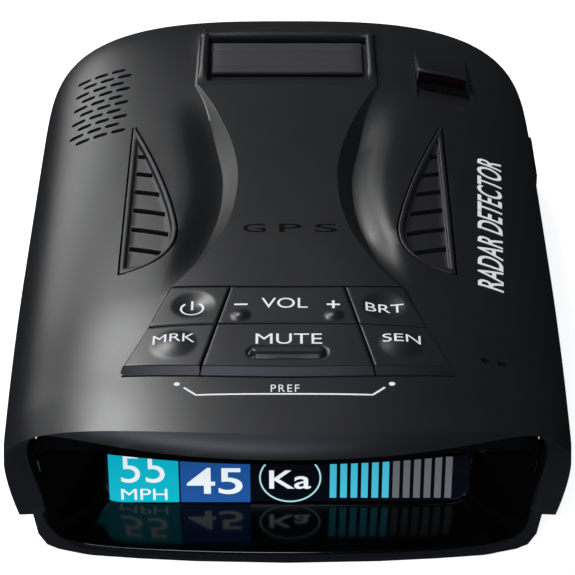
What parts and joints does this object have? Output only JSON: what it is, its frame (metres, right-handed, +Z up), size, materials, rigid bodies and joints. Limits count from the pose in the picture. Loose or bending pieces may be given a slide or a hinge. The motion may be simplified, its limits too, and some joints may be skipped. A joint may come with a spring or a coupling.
{
  "type": "radar detector",
  "caption": "Low black radar detector with a hooded display recess, raised spine with six keys, vent grilles and a rear dock pocket.",
  "frame": {"origin": "on the flat base, under the middle of the case", "axes": "+Z up, +Y to the windscreen end, +X to the right seen from the display end"},
  "size_m": [0.0853, 0.1337, 0.0304],
  "materials": {
    "satin_black": "satin moulded",
    "black_rubber": "soft touch",
    "gloss_black": "piano gloss",
    "display_glass": "clear tinted",
    "dark_lens": "infrared filter",
    "board_green": "solder mask",
    "zinc": "satin",
    "steel": "satin",
    "ceramic": "ceramic",
    "paper_cone": "paper",
    "socket_black": "moulded",
    "label_grey": "printed film",
    "panel_blue": "lit panel"
  },
  "bodies": {
    "case": {"top_cover": "satin_black", "bottom_cover": "satin_black", "display_bezel": "gloss_black", "display_window": "display_glass", "display_panel": "panel_blue", "display_bracket": "steel", "vent_grille_left": "satin_black", "vent_grille_right": "satin_black", "power_key_switch": "steel", "mark_key_switch": "steel", "volume_rocker_switch": "steel", "mute_key_switch": "steel", "brightness_key_switch": "steel", "sensitivity_key_switch": "steel", "key_board": "board_green", "main_board": "board_green", "gps_module": "zinc", "gps_antenna": "ceramic", "light_sensor": "dark_lens", "horn_antenna": "zinc", "microwave_module": "zinc", "speaker_frame": "steel", "speaker_cone": "paper_cone", "speaker_magnet": "steel", "dock_tray": "satin_black", "dock_pad": "black_rubber", "rear_sensor_hood": "satin_black", "rear_sensor_lens": "dark_lens", "rear_sensor_receiver": "dark_lens", "front_laser_lens": "dark_lens", "front_laser_receiver": "dark_lens", "power_socket": "socket_black", "audio_jack": "socket_black", "usb_socket": "steel", "screw_1": "steel", "screw_2": "steel", "screw_3": "steel", "screw_4": "steel", "rating_label": "label_grey"},
    "power_key": {"power_key": "black_rubber"},
    "mark_key": {"mark_key": "black_rubber"},
    "mute_key": {"mute_key": "black_rubber"},
    "brightness_key": {"brightness_key": "black_rubber"},
    "sensitivity_key": {"sensitivity_key": "black_rubber"},
    "volume_rocker": {"volume_rocker": "black_rubber"}
  },
  "joints": [
    {"name": "power_key_press", "type": "slide", "parent": "case", "child": "power_key", "axis": [0, 0, -1], "range_m": [0, 0.0006], "stiffness_N_per_m": 800},
    {"name": "mark_key_press", "type": "slide", "parent": "case", "child": "mark_key", "axis": [0, 0, -1], "range_m": [0, 0.0006], "stiffness_N_per_m": 800},
    {"name": "mute_key_press", "type": "slide", "parent": "case", "child": "mute_key", "axis": [0, 0, -1], "range_m": [0, 0.0006], "stiffness_N_per_m": 800},
    {"name": "brightness_key_press", "type": "slide", "parent": "case", "child": "brightness_key", "axis": [0, 0, -1], "range_m": [0, 0.0006], "stiffness_N_per_m": 800},
    {"name": "sensitivity_key_press", "type": "slide", "parent": "case", "child": "sensitivity_key", "axis": [0, 0, -1], "range_m": [0, 0.0006], "stiffness_N_per_m": 800},
    {"name": "volume_rocker_tilt", "type": "hinge", "parent": "case", "child": "volume_rocker", "pos_m": [0, -0.03753, 0.02667], "axis": [0, 1, 0], "range_deg": [-2.5, 2.5], "stiffness_Nm_per_rad": 0.05}
  ]
}
